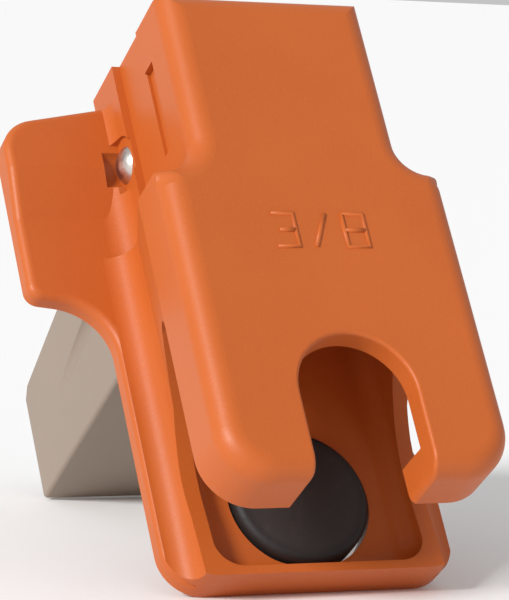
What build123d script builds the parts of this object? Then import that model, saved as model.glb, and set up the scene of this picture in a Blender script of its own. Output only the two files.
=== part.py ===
from build123d import *
import math
import os

os.makedirs("parts", exist_ok=True)

# Rope grab for 3/8 in rope.  Working axes while modelling, in millimetres:
# X to the right, Y from the fork's front face to the rear, Z up the body,
# with the origin at the centre of the fork's arch.  At the end the whole tool
# is leaned back onto its tray edge and its lever, as it stands on a bench.

# rope and fork
rope_diameter = 9.5
fork_slot_width = 11.8
fork_half_width = 14.6
fork_wall = 2.4
fork_lip_depth = 6.7
fork_lip_wall = 1.9
fork_drop = 8.4
fork_return_height = 3.5
fork_return_wall = 1.6
fork_corner_radius = 5.0
fork_inner_radius = 1.0
fork_mouth_dip = 0.15
front_edge_radius = 2.2
notch_edge_radius = 0.35

# block above the fork
block_half_width = 10.7
block_height = 44.2
shoulder_height = 24.3
shoulder_hollow_radius = 3.0
cheek_step = 0.6
cheek_start = 13.2
groove_start = 5.2
groove_width = 2.2
groove_depth = 0.6
groove_bottom = 29.4
groove_top = 39.3
strip_depth = 0.25

# rear plate, ear and tray
pad_gap = rope_diameter - 0.4
pad_dome = 1.5
plate_thickness = 2.0
plate_half_width = 14.9
plate_drop = 11.2
plate_corner_radius = 4.2
plate_edge_radius = 0.8
flare_radius = 2.5
wall_half_width = 12.2
wall_thickness = 1.5
tray_lip_depth = 2.9
tray_lip_height = 0.9
tray_rim_depth = 2.3
tray_top = 2.5
dish_radius = 2.0
ear_half_width = 22.8
ear_bottom = 20.2
ear_top = 41.6
ear_slope = 11.0
ear_corner_radius = 3.8
ear_neck_radius = 6.0
ear_tip_radius = 1.4
ear_step = 0.9
ear_step_top = 34.3
ear_step_bottom = 28.8
rope_channel_top = 14.5
slit_top = 11.7
slit_mouth = 3.2
slit_bow = 2.6

# pivot
pivot_depth = 15.6
pivot_height = 34.0
pin_diameter = 3.0
pin_head_radius = 1.9
pin_head_height = 0.9
pin_head_gap = 0.25
pin_recess_radius = 2.95
pin_recess_depth = 0.3
pin_tail = 1.1
clip_radius = 3.0
clip_thickness = 0.5
clip_notches = 6
running_gap = 0.05
bush_wall = 1.0
bush_length = 3.4
bush_flange_radius = 3.9
bush_flange = 0.3
hub_radius = 5.0

# lever
lever_half_width = 8.4
lever_side_gap = 0.5
lever_length = 60.6
lever_end_bottom = 20.0
lever_end_height = 13.6
lever_top_slope = 10.0
lever_edge_radius = 0.5
lever_end_chamfer = 1.3
window_gap = 0.3
arm_gap = 0.4
grip_angle = 7.0
arm_thickness = 4.6
arm_rib = 2.6
boss_radius = 4.5
scoop_radius = 1.5
scoop_depth = 1.9
scoop_end = 50.0

# rubber pad and its fastening
pad_radius = 6.95
pad_height = -2.4
pad_thickness = 3.2
pad_crown = 0.45
pad_rim_radius = 0.9
pad_hole_gap = 0.3
backing_radius = 6.0
backing_thickness = 1.0
stud_radius = 2.1
stud_bore_radius = 1.25
stud_length = 2.6
screw_head_radius = 2.3
screw_head_height = 1.5
screw_bore_radius = 1.6
screw_socket_radius = 1.1
washer_radius = 2.5
washer_thickness = 0.4

# return spring
spring_wire = 0.6
spring_mean_radius = 2.9
spring_turns = 5
spring_pitch = 0.67
spring_room = 4.2
spring_hole_radius = 0.6
spring_hole_depth = 1.2
spring_side_gap = 0.9

# worked out from the sizes above
spring_half_length = spring_pitch * spring_turns / 2
spring_slot_half = spring_half_length + spring_wire / 2 + spring_side_gap
slot_radius = fork_slot_width / 2
pad_face = fork_lip_depth + pad_gap
floor_depth = pad_face + pad_dome
plate_back = floor_depth + plate_thickness
pin_radius = pin_diameter / 2
cheek_half_width = block_half_width + cheek_step
cavity_half_width = lever_half_width + lever_side_gap
cavity_front = pivot_depth - hub_radius - 0.9
lever_top_rear = lever_end_bottom + lever_end_height
window_bottom = lever_end_bottom - 0.2
bush_bore = pin_radius + running_gap
bush_radius = bush_bore + bush_wall
backing_front = pad_face + pad_thickness
arm_front = backing_front + backing_thickness


def lever_top(depth):
    """Height of the lever's top face at a depth."""
    slope = math.tan(math.radians(lever_top_slope))
    return lever_top_rear + (lever_length - depth) * slope


window_top = lever_top(plate_back) + window_gap


def prism_xz(face, start, end):
    """A face drawn as (x, z), extruded along Y from start to end."""
    plane = Plane(origin=(0, start, 0), x_dir=(1, 0, 0), z_dir=(0, -1, 0))
    return extrude(plane * face, -(end - start))


def prism_yz(face, half_width):
    """A face drawn as (y, z), extruded along X to both sides."""
    plane = Plane(origin=(0, 0, 0), x_dir=(0, 1, 0), z_dir=(1, 0, 0))
    return extrude(plane * face, half_width, both=True)


def box_between(low, high):
    size = [b - a for a, b in zip(low, high)]
    middle = [(a + b) / 2 for a, b in zip(low, high)]
    return Pos(*middle) * Box(*size)


def rod_x(radius, start, end, depth, height):
    """A round bar along X."""
    length = end - start
    middle = (start + end) / 2
    return Pos(middle, depth, height) * Rot(0, 90, 0) * Cylinder(radius, length)


def rod_y(radius, start, end, height):
    """A round bar along Y on the tool's centre line."""
    length = end - start
    middle = (start + end) / 2
    return Pos(0, middle, height) * Rot(90, 0, 0) * Cylinder(radius, length)


def outline(points, radii):
    """A closed face from corner points, each corner with its own radius."""
    face = make_face(Polyline(*points, close=True))
    for point, radius in zip(points, radii):
        if radius:
            corner = face.vertices().sort_by_distance(Vector(point[0], point[1], 0))[0]
            face = fillet(corner, radius)
    return face


def fork_outline():
    half = fork_half_width
    points = [(-block_half_width, block_height), (block_half_width, block_height)]
    points += [(block_half_width, shoulder_height), (half, shoulder_height)]
    points += [(half, -fork_drop), (-half, -fork_drop)]
    points += [(-half, shoulder_height), (-block_half_width, shoulder_height)]
    hollow = shoulder_hollow_radius
    corner = fork_corner_radius
    return outline(points, [0, 0, hollow, 0, corner, corner, 0, hollow])


def notch_outline():
    """The U of the fork, open downwards, with eased mouth corners."""
    low = -fork_drop
    ease = fork_inner_radius
    rise = ease - fork_mouth_dip
    face = Pos(0, (low - ease) / 2) * Rectangle(fork_slot_width, -low + ease)
    face += Circle(slot_radius)
    for side in (-1, 1):
        mouth = Pos(side * (slot_radius + ease / 2), low + rise / 2) * Rectangle(ease, rise)
        face += mouth - Pos(side * (slot_radius + ease), low + rise) * Circle(ease)
    return face


def front_shell():
    """Fork and block front, with the large rounded front edge."""
    solid = prism_xz(fork_outline(), 0, fork_lip_depth)
    front = solid.faces().sort_by(Axis.Y)[0]
    solid = fillet(front.edges(), front_edge_radius)
    solid -= prism_xz(notch_outline(), -1, fork_lip_depth + 1)
    face = solid.faces().sort_by(Axis.Y)[0]
    reach = slot_radius + fork_inner_radius + 0.1
    inner = [edge for edge in face.edges() if abs(edge.center().X) < reach]
    rim = [edge for edge in inner if edge.center().Z < slot_radius + 0.1]
    return fillet(rim, notch_edge_radius)


def plan_outline():
    """Section of the middle body seen from above, front lip to plate."""
    neck = wall_half_width
    points = [(-fork_half_width, fork_lip_depth), (fork_half_width, fork_lip_depth)]
    points += [(neck, pivot_depth - 1.6), (neck, floor_depth), (-neck, floor_depth)]
    points += [(-neck, pivot_depth - 1.6)]
    return make_face(Polyline(*points, close=True))


def flare(half, low, high, side):
    """Concave fillet between a side wall and the plate's front."""
    corner = Pos(half + flare_radius / 2, floor_depth - flare_radius / 2)
    face = corner * Rectangle(flare_radius, flare_radius)
    face -= Pos(half + flare_radius, floor_depth - flare_radius) * Circle(flare_radius)
    solid = Pos(0, 0, low) * extrude(face, high - low)
    return solid if side > 0 else mirror(solid, about=Plane.YZ)


def slit_profile():
    """Side view of the open slot for the rope, widening downwards."""
    rear = floor_depth - tray_rim_depth
    middle = (floor_depth + fork_lip_depth) / 2 + slit_bow
    low = -plate_drop - 1
    top = (fork_lip_depth + slit_mouth, slit_top)
    knee = (rear + 0.2, pad_height - 2)
    back = ThreePointArc(top, (middle, 4.2), knee)
    foot = (fork_lip_depth, slit_top - 1.4)
    crown = ThreePointArc(foot, (fork_lip_depth + 0.6, slit_top - 0.3), top)
    sides = Polyline(knee, (floor_depth - tray_lip_depth, low), (fork_lip_depth, low), foot)
    return make_face([back, crown, sides])


def middle_body():
    """Side walls from the fork's lips back to the plate, split by the slit."""
    flares = flare(wall_half_width, -plate_drop, shoulder_height, -1)
    flares += flare(wall_half_width, -plate_drop, tray_top, 1)
    flares &= prism_xz(plate_outline(), fork_lip_depth, floor_depth)
    solid = Pos(0, 0, -plate_drop) * extrude(plan_outline(), shoulder_height + plate_drop)
    solid &= prism_xz(tray_outline(), fork_lip_depth, floor_depth)
    solid += flares
    solid -= prism_yz(slit_profile(), 30)
    sill_low = (-wall_half_width, floor_depth - 0.5, -plate_drop)
    sill = box_between(sill_low, (wall_half_width, plate_back, tray_lip_height - plate_drop))
    return solid + (sill & prism_xz(tray_outline(), floor_depth - 1, plate_back))


def upper_block():
    low = shoulder_height - 0.5
    half = block_half_width
    cheek = cheek_half_width
    solid = box_between((-half, fork_lip_depth, low), (half, floor_depth, block_height))
    solid += box_between((-cheek, cheek_start, low), (cheek, floor_depth, block_height))
    return solid


def plate_outline():
    """Rear plate: tray below, one ear on the left."""
    drop = math.tan(math.radians(ear_slope)) * (ear_half_width - cheek_half_width)
    neck_top = ear_bottom - 1.2
    points = [(-cheek_half_width, block_height), (cheek_half_width, block_height)]
    points += [(cheek_half_width, tray_top + 1.5), (plate_half_width, tray_top - 2.5)]
    points += [(plate_half_width, -plate_drop)]
    points += [(-plate_half_width, -plate_drop), (-plate_half_width, neck_top)]
    points += [(-ear_half_width, ear_bottom), (-ear_half_width, ear_top - drop)]
    points += [(-cheek_half_width, ear_top)]
    corner = plate_corner_radius
    neck = ear_neck_radius
    radii = [0, 0, 2.0, 2.0, corner, corner, neck, ear_tip_radius, ear_corner_radius, 0]
    return outline(points, radii)


def tray_outline():
    """Rounded outline that the side walls keep to at the tray's end."""
    half = plate_half_width
    points = [(half, block_height), (half, -plate_drop), (-half, -plate_drop)]
    points += [(-half, block_height)]
    corner = plate_corner_radius
    return outline(points, [0, corner, corner, 0])


def ear_profile():
    """Side view of plate and ear: upper panel proud, slanted band, lower panel."""
    proud = floor_depth - ear_step
    points = [(proud, block_height), (proud, ear_step_top), (floor_depth, ear_step_bottom)]
    points += [(floor_depth, -plate_drop - 1), (plate_back, -plate_drop - 1)]
    points += [(plate_back, block_height)]
    return make_face(Polyline(*points, close=True))


def rear_plate():
    """Plate and ear with an eased front edge all the way round."""
    full = prism_xz(plate_outline(), floor_depth - ear_step, plate_back)
    plate = full & prism_yz(ear_profile(), ear_half_width + 1)
    fronts = plate.faces().filter_by(lambda face: face.normal_at().Y < -0.5)
    around = [edge for face in fronts for edge in face.edges()]
    rim = [edge for edge in around if abs(edge.tangent_at(0.5).X) < 0.99]
    return fillet(rim, plate_edge_radius)


def fork_returns():
    """Short walls that turn up beside the slot at each prong's tip."""
    outer = slot_radius + fork_return_wall
    top = -fork_drop + fork_return_height
    solid = box_between((slot_radius, fork_wall, -fork_drop), (outer, fork_lip_depth, top))
    return solid + mirror(solid, about=Plane.YZ)


def spring_hole(offset, start, end):
    """Hole for one leg of the return spring, below the pin."""
    hole = rod_y(spring_hole_radius, start, end, pivot_height - spring_mean_radius)
    return Pos(offset, 0, 0) * hole


def rope_channel():
    """Space for the rope between the walls, dished where it meets the floor."""
    half = wall_half_width - wall_thickness
    low = -plate_drop + tray_lip_height
    points = [(-half, low), (half, low), (half, rope_channel_top), (-half, rope_channel_top)]
    corner = plate_corner_radius - wall_thickness
    solid = prism_xz(outline(points, [corner, corner, 0, 0]), fork_lip_depth, floor_depth)
    floor = solid.faces().sort_by(Axis.Y)[-1]
    rounded = [edge for edge in floor.edges() if edge.center().Z < rope_channel_top - 0.1]
    return fillet(rounded, dish_radius)


def body_cavities():
    """Rope channel, fork hollow and the lever's well."""
    inside = fork_half_width - fork_lip_wall
    low = -fork_drop + fork_lip_wall
    high = rope_channel_top - 2
    corner = fork_corner_radius - fork_lip_wall
    points = [(-inside, low), (inside, low), (inside, high), (-inside, high)]
    cavity = prism_xz(outline(points, [corner, corner, 2, 2]), fork_wall, fork_lip_depth)
    cavity += rope_channel()
    half = cavity_half_width
    rear = plate_back + 1
    cavity += box_between((-half, cavity_front, window_bottom), (half, rear, window_top))
    tip = cavity_front - spring_hole_depth
    cavity += spring_hole(-spring_half_length, tip, cavity_front + 0.5)
    return cavity


def pin_holes():
    """Pin bore, with a seat for the clip on the right and the head on the left."""
    reach = cheek_half_width + pin_tail + 0.5
    floor = cheek_half_width - pin_recess_depth
    seats = rod_x(pin_recess_radius, -reach, -floor, pivot_depth, pivot_height)
    seats &= box_between((-reach, 0, 0), (0, floor_depth - ear_step, block_height))
    seats += rod_x(pin_head_radius + pin_head_gap, -reach, -floor, pivot_depth, pivot_height)
    seats += rod_x(pin_recess_radius, floor, reach, pivot_depth, pivot_height)
    return rod_x(pin_radius, -reach, reach, pivot_depth, pivot_height) + seats


def side_grooves():
    """Groove and shallow strip on each side of the block."""
    outer = block_half_width + 1
    deep = block_half_width - groove_depth
    shallow = block_half_width - strip_depth
    rear = groove_start + groove_width
    cut = box_between((deep, groove_start, groove_bottom), (outer, rear, groove_top))
    cut += box_between((shallow, rear, groove_bottom), (outer, cheek_start, block_height + 1))
    return cut + mirror(cut, about=Plane.YZ)


def make_body():
    body = front_shell() + middle_body() + upper_block() + rear_plate()
    body += flare(cheek_half_width, shoulder_height - 0.5, ear_top - 0.5, -1)
    body -= body_cavities()
    body += fork_returns()
    body -= prism_xz(notch_outline(), fork_wall, fork_lip_depth + 1)
    body -= rod_y(pad_radius + pad_hole_gap, floor_depth - 3, plate_back + 1, pad_height)
    body -= pin_holes() + side_grooves()
    return body


def arm_clearance(height):
    """Depth the arm's front keeps at a height, to clear the plate when gripping."""
    swing = (pivot_height - height) * math.tan(math.radians(grip_angle))
    return plate_back + arm_gap + swing


def lever_profile():
    hole_radius = pad_radius + pad_hole_gap
    hole_edge = pad_height + math.sqrt(hole_radius ** 2 - boss_radius ** 2) - arm_gap
    arm_bottom = pad_height - boss_radius
    back = arm_front + arm_thickness
    knee = window_bottom + 0.6
    root = plate_back - 0.5
    end = lever_length
    points = [(end - lever_end_chamfer, lever_top(end)), (end, lever_top_rear - lever_end_chamfer)]
    points += [(end, lever_end_bottom), (back + arm_rib, lever_end_bottom + 0.4)]
    points += [(back + arm_rib, hole_edge + 3), (back, hole_edge - 2)]
    points += [(back, arm_bottom), (arm_front, arm_bottom), (arm_front, hole_edge - 3.4)]
    points += [(arm_clearance(hole_edge), hole_edge), (arm_clearance(knee), knee)]
    points += [(pivot_depth, pivot_height - hub_radius), (pivot_depth, pivot_height)]
    points += [(pivot_depth, pivot_height + hub_radius), (root, lever_top(root))]
    face = make_face(Polyline(*points, close=True))
    return face + Pos(pivot_depth, pivot_height) * Circle(hub_radius)


def side_scoops():
    """Long finger scoop on each side of the lever, fading out to the rear."""
    outer = lever_half_width + scoop_radius
    start = Vector(outer - scoop_depth, pivot_depth + 9, pivot_height - 2)
    end = Vector(outer, scoop_end, pivot_height - 6.4)
    direction = end - start
    rod = extrude(Plane(origin=start, z_dir=direction) * Circle(scoop_radius), direction.length)
    return rod + mirror(rod, about=Plane.YZ)


def lever_rim(lever):
    """Edges of the handle: round its end, and along its four sides."""
    end = lever.edges().filter_by_position(Axis.Y, lever_length - 3, lever_length + 1)
    sides = lever.edges().filter_by(lambda edge: abs(edge.tangent_at(0.5).Y) > 0.9)
    long = [edge for edge in sides if edge.length > 30 and edge.geom_type == GeomType.LINE]
    return list(end) + long


def make_lever():
    lever = prism_yz(lever_profile(), lever_half_width)
    grip = box_between((-20, 0, lever_end_bottom - 0.3), (20, 90, 60))
    arm = Pos(0, pad_height) * Circle(boss_radius)
    arm += Pos(0, pad_height + 15) * Rectangle(2 * boss_radius, 30)
    lever &= grip + prism_xz(arm, 0, 80)
    lever = fillet(lever_rim(lever), lever_edge_radius)
    reach = lever_half_width + 1
    rear = pivot_depth + spring_room
    low = pivot_height - spring_room
    lever -= side_scoops()
    lever -= rod_x(bush_radius, -reach, reach, pivot_depth, pivot_height)
    lever -= box_between((-spring_slot_half, 0, low), (spring_slot_half, rear, window_top + 1))
    lever -= spring_hole(spring_half_length, rear - 0.5, rear + spring_hole_depth)
    lever -= rod_y(stud_radius, arm_front - 1, arm_front + stud_length, pad_height)
    lever -= rod_y(screw_bore_radius, arm_front, arm_front + arm_thickness + 1, pad_height)
    return lever


def make_pivot_pin():
    """Rivet pin with a domed head on the left."""
    seat = -cheek_half_width + pin_recess_depth
    end = cheek_half_width + pin_tail
    shank = rod_x(pin_radius, seat, end, pivot_depth, pivot_height)
    cap_radius = (pin_head_radius ** 2 + pin_head_height ** 2) / (2 * pin_head_height)
    ball = Pos(seat - pin_head_height + cap_radius, pivot_depth, pivot_height) * Sphere(cap_radius)
    head = ball & rod_x(pin_head_radius, seat - pin_head_height, seat, pivot_depth, pivot_height)
    return shank + head


def make_pin_clip():
    """Push-on ring with sprung teeth on the pin's right end."""
    seat = cheek_half_width - pin_recess_depth
    ring = rod_x(clip_radius - 0.2, seat, seat + clip_thickness, pivot_depth, pivot_height)
    ring -= rod_x(pin_radius, seat - 1, seat + 2, pivot_depth, pivot_height)
    for index in range(clip_notches):
        angle = 360 / clip_notches * index
        notch = box_between((seat - 1, -0.25, 0), (seat + 2, 0.25, 2.1))
        ring -= Pos(0, pivot_depth, pivot_height) * Rot(angle, 0, 0) * notch
    return ring


def make_bush(side):
    """Flanged bush pressed into the lever's hub."""
    outer = side * lever_half_width
    inner = outer - side * bush_length
    rim = outer + side * bush_flange
    sleeve = rod_x(bush_radius, min(inner, outer), max(inner, outer), pivot_depth, pivot_height)
    sleeve += rod_x(bush_flange_radius, min(outer, rim), max(outer, rim), pivot_depth, pivot_height)
    return sleeve - rod_x(bush_bore, -20, 20, pivot_depth, pivot_height)


def make_grip_pad():
    """Domed rubber button with a rounded rim."""
    back = pad_face + pad_thickness
    shoulder = (pad_radius - pad_rim_radius, pad_face + pad_crown)
    outer = (pad_radius, pad_face + pad_crown + pad_rim_radius)
    bend = (pad_radius - 0.25 * pad_rim_radius, pad_face + pad_crown + 0.32 * pad_rim_radius)
    dome = ThreePointArc((0, pad_face), (pad_radius / 2, pad_face + pad_crown * 0.31), shoulder)
    edge = ThreePointArc(shoulder, bend, outer)
    side = Polyline(outer, (pad_radius, back), (0, back), (0, pad_face))
    face = make_face([dome, edge, side])
    pad = revolve(face, Axis.Y)
    return Pos(0, 0, pad_height) * pad


def make_pad_backing():
    """Steel disc behind the rubber with a tapped boss."""
    disc = rod_y(backing_radius, backing_front, arm_front, pad_height)
    disc += rod_y(stud_radius, arm_front, arm_front + stud_length, pad_height)
    return disc - rod_y(stud_bore_radius, arm_front - 0.5, arm_front + stud_length + 1, pad_height)


def make_pad_washer():
    seat = arm_front + arm_thickness
    ring = rod_y(washer_radius, seat, seat + washer_thickness, pad_height)
    return ring - rod_y(screw_bore_radius, seat - 1, seat + 2, pad_height)


def make_pad_screw():
    seat = arm_front + arm_thickness + washer_thickness
    head = rod_y(screw_head_radius, seat, seat + screw_head_height, pad_height)
    top = head.faces().sort_by(Axis.Y)[-1]
    head = fillet(top.edges(), 0.5)
    shank = rod_y(stud_bore_radius, arm_front + 0.2, seat, pad_height)
    outer = seat + screw_head_height
    plane = Plane(origin=(0, outer, pad_height), z_dir=(0, 1, 0))
    socket = extrude(plane * RegularPolygon(screw_socket_radius, 6), -screw_head_height * 0.6)
    return head + shank - socket


def make_return_spring():
    """Torsion spring round the pin: one leg on the body, one on the lever."""
    helix = Helix(spring_pitch, 2 * spring_half_length, spring_mean_radius)
    front_leg = pivot_depth - cavity_front + spring_hole_depth * 0.6
    rear_leg = spring_room + spring_hole_depth * 0.6
    tip = (helix @ 0) - (helix % 0) * front_leg
    tail = (helix @ 1) + (helix % 1) * rear_leg
    path = Wire([Line(tip, helix @ 0), helix.edge(), Line(helix @ 1, tail)])
    coil = sweep(Plane(origin=tip, z_dir=helix % 0) * Circle(spring_wire / 2), path=path)
    return Pos(-spring_half_length, pivot_depth, pivot_height) * Rot(0, 90, 0) * coil


def lean_angle():
    """Angle that puts the tray's and the lever's lower rear edges on one level."""
    run = lever_length - plate_back
    rise = lever_end_bottom + plate_drop
    return math.degrees(math.atan2(rise, run))


def main():
    nodes = {
        "body": make_body(),
        "lever": make_lever(),
        "pivot_pin": make_pivot_pin(),
        "pin_clip": make_pin_clip(),
        "left_bush": make_bush(-1),
        "right_bush": make_bush(1),
        "return_spring": make_return_spring(),
        "grip_pad": make_grip_pad(),
        "pad_backing": make_pad_backing(),
        "pad_washer": make_pad_washer(),
        "pad_screw": make_pad_screw(),
    }
    leaned = {name: Rot(-lean_angle(), 0, 0) * solid for name, solid in nodes.items()}
    boxes = [solid.bounding_box() for solid in leaned.values()]
    left = min(box.min.X for box in boxes)
    right = max(box.max.X for box in boxes)
    front = min(box.min.Y for box in boxes)
    rear = max(box.max.Y for box in boxes)
    bottom = min(box.min.Z for box in boxes)
    shift = Pos(-(left + right) / 2, -(front + rear) / 2, -bottom)
    for name, solid in leaned.items():
        placed = shift * solid
        placed.label = name
        export_step(placed, f"parts/{name}.step")
    pivot = shift * Rot(-lean_angle(), 0, 0) * Pos(0, pivot_depth, pivot_height)
    print("lean", round(lean_angle(), 3), "pivot", pivot.position, "shift", shift.position)


main()
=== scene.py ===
# Rope grab for 3/8 in rope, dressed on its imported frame.
# Lengths are in metres, unless a name says mm.
import math

import bmesh
import bpy
from mathutils import Matrix, Vector


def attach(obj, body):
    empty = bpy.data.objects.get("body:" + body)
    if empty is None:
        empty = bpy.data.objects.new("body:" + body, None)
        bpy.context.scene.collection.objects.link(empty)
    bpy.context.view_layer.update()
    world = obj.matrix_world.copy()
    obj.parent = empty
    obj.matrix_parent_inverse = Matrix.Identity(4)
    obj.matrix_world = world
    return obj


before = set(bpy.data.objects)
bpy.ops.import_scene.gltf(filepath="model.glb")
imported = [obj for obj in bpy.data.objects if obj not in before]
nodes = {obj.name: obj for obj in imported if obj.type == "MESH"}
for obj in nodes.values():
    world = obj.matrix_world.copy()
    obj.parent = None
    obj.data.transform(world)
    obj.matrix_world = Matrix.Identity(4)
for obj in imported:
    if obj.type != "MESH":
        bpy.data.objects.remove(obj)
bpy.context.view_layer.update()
print("frame loaded:", len(nodes), "nodes")

# The tool's own axes, in mm: fork front at y 0, centre of its arch at z 0.
# On the bench it leans back onto its tray and its lever.
lean = {"angle": 37.0692, "shiftMm": (3.95, -31.8087, 20.5702)}
turn = Matrix.Rotation(-math.radians(lean["angle"]), 4, "X")
toolPlace = Matrix.Translation(Vector(lean["shiftMm"]) / 1000) @ turn @ Matrix.Scale(0.001, 4)


def plug(tree, socket, value):
    if isinstance(value, Wire):
        tree.links.new(value.socket, socket)
    else:
        socket.default_value = value


class Wire:  # one output socket, so that mask arithmetic reads as arithmetic
    def __init__(self, tree, socket):
        self.tree = tree
        self.socket = socket

    def maths(self, operation, first, second):
        node = self.tree.nodes.new("ShaderNodeMath")
        node.operation = operation
        plug(self.tree, node.inputs[0], first)
        plug(self.tree, node.inputs[1], second)
        return Wire(self.tree, node.outputs[0])

    def __add__(self, other):
        return self.maths("ADD", self, other)

    def __sub__(self, other):
        return self.maths("SUBTRACT", self, other)

    def __mul__(self, other):
        return self.maths("MULTIPLY", self, other)

    def __truediv__(self, other):
        return self.maths("DIVIDE", self, other)

    def __pow__(self, other):
        return self.maths("POWER", self, other)

    def __rsub__(self, other):
        return self.maths("SUBTRACT", other, self)

    __radd__ = __add__
    __rmul__ = __mul__


class Finish:  # one material, with its Principled shader ready to plug into
    def __init__(self, name):
        self.material = bpy.data.materials.new(name)
        self.material.use_nodes = True
        self.tree = self.material.node_tree
        self.skin = self.tree.nodes["Principled BSDF"]

    def node(self, kind, settings=None, sockets=None, out=0):
        made = self.tree.nodes.new("ShaderNode" + kind)
        for key, value in (settings or {}).items():
            if key == "stops":
                while len(made.color_ramp.elements) < len(value):
                    made.color_ramp.elements.new(0.5)
                for element, (position, shade) in zip(made.color_ramp.elements, value):
                    element.position = position
                    element.color = (shade, shade, shade, 1)
            else:
                setattr(made, key, value)
        for key, value in (sockets or {}).items():
            plug(self.tree, made.inputs[key], value)
        return Wire(self.tree, made.outputs[out])

    def place(self, location=(0, 0, 0), rotation=(0, 0, 0), scale=(1, 1, 1)):
        coords = self.node("TexCoord", out="Object")
        sockets = {"Vector": coords, "Location": location, "Rotation": rotation, "Scale": scale}
        return self.node("Mapping", {"vector_type": "TEXTURE"}, sockets)

    def noise(self, vector, scale, detail=2.0, roughness=0.5):
        sockets = {"Vector": vector, "Scale": scale, "Detail": detail, "Roughness": roughness}
        return self.node("TexNoise", None, sockets)

    def ramp(self, factor, stops):
        return self.node("ValToRGB", {"stops": stops}, {"Fac": factor})

    def mix(self, factor, first, second, blend="MIX"):
        settings = {"data_type": "RGBA", "blend_type": blend}
        return self.node("Mix", settings, {0: factor, 6: first, 7: second}, 2)

    def bump(self, height, distance, strength=1.0):
        sockets = {"Height": height, "Distance": distance, "Strength": strength}
        return self.node("Bump", None, sockets)

    def wear(self, **sockets):
        for key, value in sockets.items():
            plug(self.tree, self.skin.inputs[key.replace("_", " ")], value)
        return self.material


def tint(red, green, blue):  # screen colour, 0 to 255, as a linear shade
    shades = [channel / 255 for channel in (red, green, blue)]
    return (*[s / 12.92 if s < 0.04045 else ((s + 0.055) / 1.055) ** 2.4 for s in shades], 1)


plasticLook = {
    "orange": {"light": tint(194, 96, 37), "deep": tint(183, 88, 31), "speck": tint(214, 122, 62)},
    "grey": {"light": tint(150, 134, 120), "deep": tint(138, 123, 110), "speck": tint(170, 154, 138)},
    "acetal": {"light": tint(226, 221, 206), "deep": tint(214, 208, 190), "speck": tint(236, 232, 220)},
    "cloudMm": 14.0,  # size of the soft shading
    "grainMm": 0.22,
    "peelMm": 1.4,  # slight orange peel of the mould
    "scratchMm": 5.0,
    "scratchTurn": (0.5, 0.3),
    "scratchStretch": (0.12, 1, 3.5),
    "scratchStops": [(0.66, 0.0), (0.74, 1.0)],
    "speckStops": [(0.60, 0.0), (0.78, 1.0)],
    "speckShare": 0.28,
    "scratchShare": 0.10,
    "glossSpread": 0.10,
    "relief": {"grain": 0.7, "peel": 0.5, "scratch": -0.25, "depth": 0.000035, "strength": 0.55},
    "specular": 0.38,
}


def mouldedPlastic(name, shades, roughness):
    look = plasticLook
    relief = look["relief"]
    finish = Finish(name)
    angle = -math.radians(lean["angle"])
    spot = finish.place(rotation=(angle, 0, 0))
    clouds = finish.noise(spot, 1000 / look["cloudMm"], 3, 0.55)
    grain = finish.noise(spot, 1000 / look["grainMm"], 2, 0.6)
    peel = finish.noise(spot, 1000 / look["peelMm"], 1, 0.5)
    drag = finish.place(rotation=(angle, *look["scratchTurn"]), scale=look["scratchStretch"])
    streak = finish.noise(drag, 1000 / look["scratchMm"], 4, 0.62)
    scratch = finish.ramp(streak, look["scratchStops"])
    specks = finish.ramp(grain, look["speckStops"])
    colour = finish.mix(clouds, shades["deep"], shades["light"])
    colour = finish.mix(specks * look["speckShare"], colour, shades["speck"])
    colour = finish.mix(scratch * look["scratchShare"], colour, shades["speck"])
    spread = look["glossSpread"]
    gloss = clouds * spread + grain * spread + scratch * spread + (roughness - spread)
    height = grain * relief["grain"] + peel * relief["peel"] + scratch * relief["scratch"]
    normal = finish.bump(height, relief["depth"], relief["strength"])
    finish.skin.inputs["Specular IOR Level"].default_value = look["specular"]
    return finish.wear(Base_Color=colour, Roughness=gloss, Normal=normal)


steelLook = {
    "pin": {"shade": (212, 204, 198), "roughness": 0.30, "blotch": 0.5},
    "spring": {"shade": (150, 150, 154), "roughness": 0.34, "blotch": 0.2},
    "zinc": {"shade": (190, 190, 184), "roughness": 0.36, "blotch": 0.35},
    "cloudScale": 900,
    "fineScale": 5200,
    "stainDark": 0.55,
    "stainStops": [(0.56, 0.0), (0.70, 1.0)],
    "reliefDepth": 0.00003,
    "centreMm": (0, 15.6, 34.0),
}


def steel(name, kind):
    look = steelLook[kind]
    finish = Finish(name)
    spot = finish.place(location=toolPlace @ Vector(steelLook["centreMm"]))
    clouds = finish.noise(spot, steelLook["cloudScale"], 3, 0.6)
    fine = finish.noise(spot, steelLook["fineScale"], 2, 0.5)
    bright = tint(*look["shade"])
    dark = tint(*[channel * steelLook["stainDark"] for channel in look["shade"]])
    stain = finish.ramp(clouds, steelLook["stainStops"])
    colour = finish.mix(stain * look["blotch"], bright, dark)
    gloss = clouds * 0.18 + fine * 0.10 + (look["roughness"] - 0.12)
    normal = finish.bump(clouds * 0.8 + fine * 0.4, steelLook["reliefDepth"], 0.5)
    return finish.wear(Base_Color=colour, Metallic=1.0, Roughness=gloss, Normal=normal)


padLook = {
    "face": tint(44, 37, 34),
    # painted shade: this rim colour is darker than the face and stands in for shade on the pad's
    # rounded edge
    "rim": tint(30, 25, 24),
    "dust": tint(80, 70, 64),
    "radiusMm": 6.95,
    "centreMm": (0, 15.8, -2.4),
    "rimStops": [(0.80, 0.0), (0.93, 1.0)],  # share of the radius
    "dustStops": [(0.55, 0.0), (0.80, 1.0)],
    "dustShare": 0.22,
    "mottleScale": 420,
    "grainScale": 3600,
    "reliefDepth": 0.00006,
}


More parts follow.
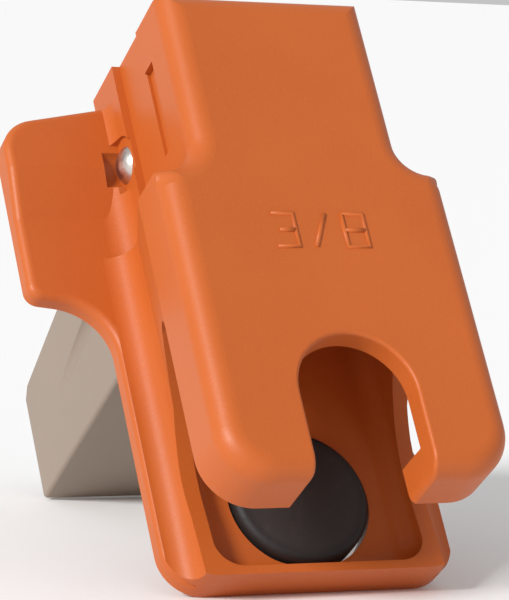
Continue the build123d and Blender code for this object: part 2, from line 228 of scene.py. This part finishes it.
def padRubber():
    finish = Finish("padRubber")
    centre = toolPlace @ Vector(padLook["centreMm"])
    spot = finish.place(location=centre, rotation=(-math.radians(lean["angle"]), 0, 0))
    across = finish.node("SeparateXYZ", None, {"Vector": spot}, "X")
    along = finish.node("SeparateXYZ", None, {"Vector": spot}, "Z")
    reach = (across * across + along * along) ** 0.5
    share = reach / (padLook["radiusMm"] / 1000)
    # painted shade: the colour darkens towards the pad's edge, and the dust below is kept off this
    # painted shade
    rim = finish.ramp(share, padLook["rimStops"])
    mottle = finish.noise(spot, padLook["mottleScale"], 4, 0.6)
    grain = finish.noise(spot, padLook["grainScale"], 2, 0.6)
    dust = finish.ramp(mottle, padLook["dustStops"])
    colour = finish.mix(rim, padLook["face"], padLook["rim"])
    colour = finish.mix(dust * (1 - rim) * padLook["dustShare"], colour, padLook["dust"])
    gloss = mottle * 0.18 + grain * 0.12 + 0.46
    normal = finish.bump(grain * 0.8 + mottle * 0.5, padLook["reliefDepth"], 0.6)
    return finish.wear(Base_Color=colour, Roughness=gloss, Normal=normal)


orange = mouldedPlastic("orangePlastic", plasticLook["orange"], 0.44)
finishes = {
    "body": orange,
    "lever": mouldedPlastic("greyPlastic", plasticLook["grey"], 0.50),
    "left_bush": mouldedPlastic("acetal", plasticLook["acetal"], 0.38),
    "pivot_pin": steel("pinSteel", "pin"),
    "pin_clip": steel("springSteel", "spring"),
    "pad_screw": steel("zincPlate", "zinc"),
    "grip_pad": padRubber(),
}
sameFinish = {"right_bush": "left_bush", "return_spring": "pin_clip"}
sameFinish.update({"pad_washer": "pad_screw", "pad_backing": "pad_screw"})
for name, node in nodes.items():
    node.data.materials.clear()
    node.data.materials.append(finishes[sameFinish.get(name, name)])
print("finishes on the frame's nodes")


# A plain size mark, raised on the fork's front: square numerals in one row,
# each drawn as (across, up) points on a grid from -1 to 1.
markLook = {
    "signs": [
        [[(-1, 1), (1, 1), (1, -1), (-1, -1)], [(-0.5, 0), (1, 0)]],
        [[(0.7, 1), (-0.7, -1)]],
        [[(-1, 1), (1, 1), (1, -1), (-1, -1), (-1, 1)], [(-1, 0), (1, 0)]],
    ],
    "halfWideMm": 1.1,
    "halfHighMm": 1.8,
    "stepMm": 3.6,
    "upMm": 17.0,
    "depthMm": 0.05,
    "strokeMm": 0.25,
    "mergeMm": 1e-4,
}


def addStroke(curve, points, middle):
    line = curve.splines.new("POLY")
    line.points.add(len(points) - 1)
    for point, (across, up) in zip(line.points, points):
        wide = middle + across * markLook["halfWideMm"]
        high = markLook["upMm"] + up * markLook["halfHighMm"]
        point.co = (wide, markLook["depthMm"], high, 1)


def makeSizeMark():
    curve = bpy.data.curves.new("strokes", "CURVE")
    curve.dimensions = "3D"
    curve.bevel_depth = markLook["strokeMm"]
    curve.bevel_resolution = 4
    curve.use_fill_caps = True
    for index, sign in enumerate(markLook["signs"]):
        for points in sign:
            addStroke(curve, points, (index - 1) * markLook["stepMm"])
    holder = bpy.data.objects.new("strokes", curve)
    bpy.context.scene.collection.objects.link(holder)
    bpy.context.view_layer.update()
    whole = bpy.data.meshes.new_from_object(holder)
    bpy.data.objects.remove(holder)
    whole.name = "sizeMark"
    shape = bmesh.new()
    shape.from_mesh(whole)
    bmesh.ops.remove_doubles(shape, verts=shape.verts, dist=markLook["mergeMm"])
    bmesh.ops.transform(shape, verts=shape.verts, matrix=toolPlace)
    bmesh.ops.recalc_face_normals(shape, faces=shape.faces)
    for face in shape.faces:
        face.smooth = True
    shape.to_mesh(whole)
    shape.free()
    whole.materials.clear()
    whole.materials.append(orange)
    mark = bpy.data.objects.new("sizeMark", whole)
    bpy.context.scene.collection.objects.link(mark)
    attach(mark, "housing")


makeSizeMark()
print("size mark raised")


stageLook = {
    "floor": (0.97, 0.97, 0.97, 1),
    "floorRoughness": 0.9,
    "floorSize": 40.0,
    "sky": (1.0, 1.0, 1.0, 1),
    "skyStrength": 0.55,
    "sun": {"from": (-0.80, -0.36, 0.47), "strength": 3.0, "spread": 14},
}


def makeStage():
    shape = bmesh.new()
    bmesh.ops.create_grid(shape, x_segments=1, y_segments=1, size=stageLook["floorSize"])
    mesh = bpy.data.meshes.new("floor")
    shape.to_mesh(mesh)
    shape.free()
    floor = bpy.data.objects.new("floor", mesh)
    bpy.context.scene.collection.objects.link(floor)
    finish = Finish("paleFloor")
    pale = finish.wear(Base_Color=stageLook["floor"], Roughness=stageLook["floorRoughness"])
    mesh.materials.append(pale)
    world = bpy.data.worlds.new("studio")
    world.use_nodes = True
    ground = world.node_tree.nodes["Background"]
    ground.inputs["Color"].default_value = stageLook["sky"]
    ground.inputs["Strength"].default_value = stageLook["skyStrength"]
    bpy.context.scene.world = world
    sun = bpy.data.lights.new("sun", "SUN")
    sun.energy = stageLook["sun"]["strength"]
    sun.angle = math.radians(stageLook["sun"]["spread"])
    light = bpy.data.objects.new("sun", sun)
    light.rotation_euler = Vector(stageLook["sun"]["from"]).to_track_quat("Z", "Y").to_euler()
    bpy.context.scene.collection.objects.link(light)


cameraLook = {
    "atMm": (-116.39, -214.17, -117.23),
    "right": (0.9173, -0.3433, -0.2018),
    "down": (0.0009, 0.5086, -0.861),
    "ahead": (0.3982, 0.7896, 0.4669),
    "lens": 178.77,
    "sensorHeight": 36,
    "clipStart": 0.01,
}


def makeCamera():
    data = bpy.data.cameras.new("camera")
    data.sensor_fit = "VERTICAL"
    data.sensor_height = cameraLook["sensorHeight"]
    data.lens = cameraLook["lens"]
    data.clip_start = cameraLook["clipStart"]
    camera = bpy.data.objects.new("camera", data)
    bpy.context.scene.collection.objects.link(camera)
    axes = Matrix((cameraLook["right"], -Vector(cameraLook["down"]), -Vector(cameraLook["ahead"])))
    facing = (turn.to_3x3() @ axes.transposed()).to_quaternion().to_matrix().to_4x4()
    camera.matrix_world = Matrix.Translation(toolPlace @ Vector(cameraLook["atMm"])) @ facing
    bpy.context.scene.camera = camera


makeStage()
makeCamera()
bpy.context.scene.view_settings.view_transform = "Standard"
print("stage and camera set")
